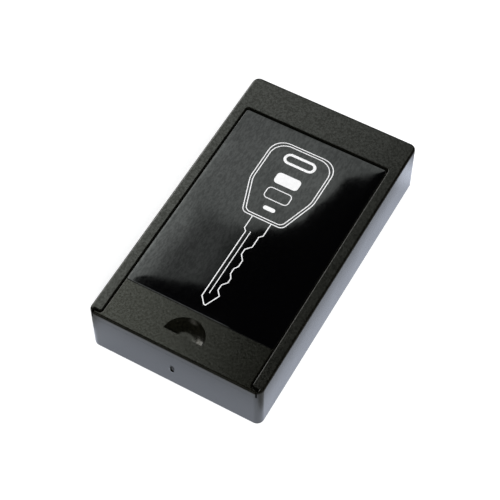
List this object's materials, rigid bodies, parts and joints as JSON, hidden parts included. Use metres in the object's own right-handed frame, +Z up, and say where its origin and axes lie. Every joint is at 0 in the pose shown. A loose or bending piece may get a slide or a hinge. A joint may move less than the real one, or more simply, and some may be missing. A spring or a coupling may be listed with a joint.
{
  "type": "magnetic key holder box",
  "caption": "Flat moulded box with a slide-off lid, thumb scoop and glossy printed label, and bar magnets between steel pole plates in its base.",
  "frame": {"origin": "middle of the plane that the pole plates stand on, under the centre of the box", "axes": "+X across the box, +Y from the front with the thumb scoop to the fixed land at the back, +Z up out of the lid"},
  "size_m": [0.063, 0.11, 0.021],
  "materials": {
    "housing_plastic": "fine-grained black ABS with softly polished walls",
    "lid_plastic": "fine-grained black ABS",
    "label_film": "high-gloss black film, slightly wavy",
    "label_ink": "white printed lines under gloss",
    "cover_plastic": "fine-grained black ABS",
    "magnet_ferrite": "ground dark grey ferrite",
    "pole_steel": "bright zinc-plated sheet steel",
    "screw_steel": "zinc-plated"
  },
  "bodies": {
    "case": {"housing": "housing_plastic", "bottom_cover": "cover_plastic", "cover_screws": "screw_steel", "magnet_front": "magnet_ferrite", "magnet_rear": "magnet_ferrite", "pole_plate_front_outer": "pole_steel", "pole_plate_front_inner": "pole_steel", "pole_plate_rear_inner": "pole_steel", "pole_plate_rear_outer": "pole_steel"},
    "slide_lid": {"lid": "lid_plastic", "lid_label": "label_film"}
  },
  "joints": [
    {"name": "lid_slide", "type": "slide", "parent": "case", "child": "slide_lid", "axis": [0, -1, 0], "range_m": [0, 0.1]}
  ]
}
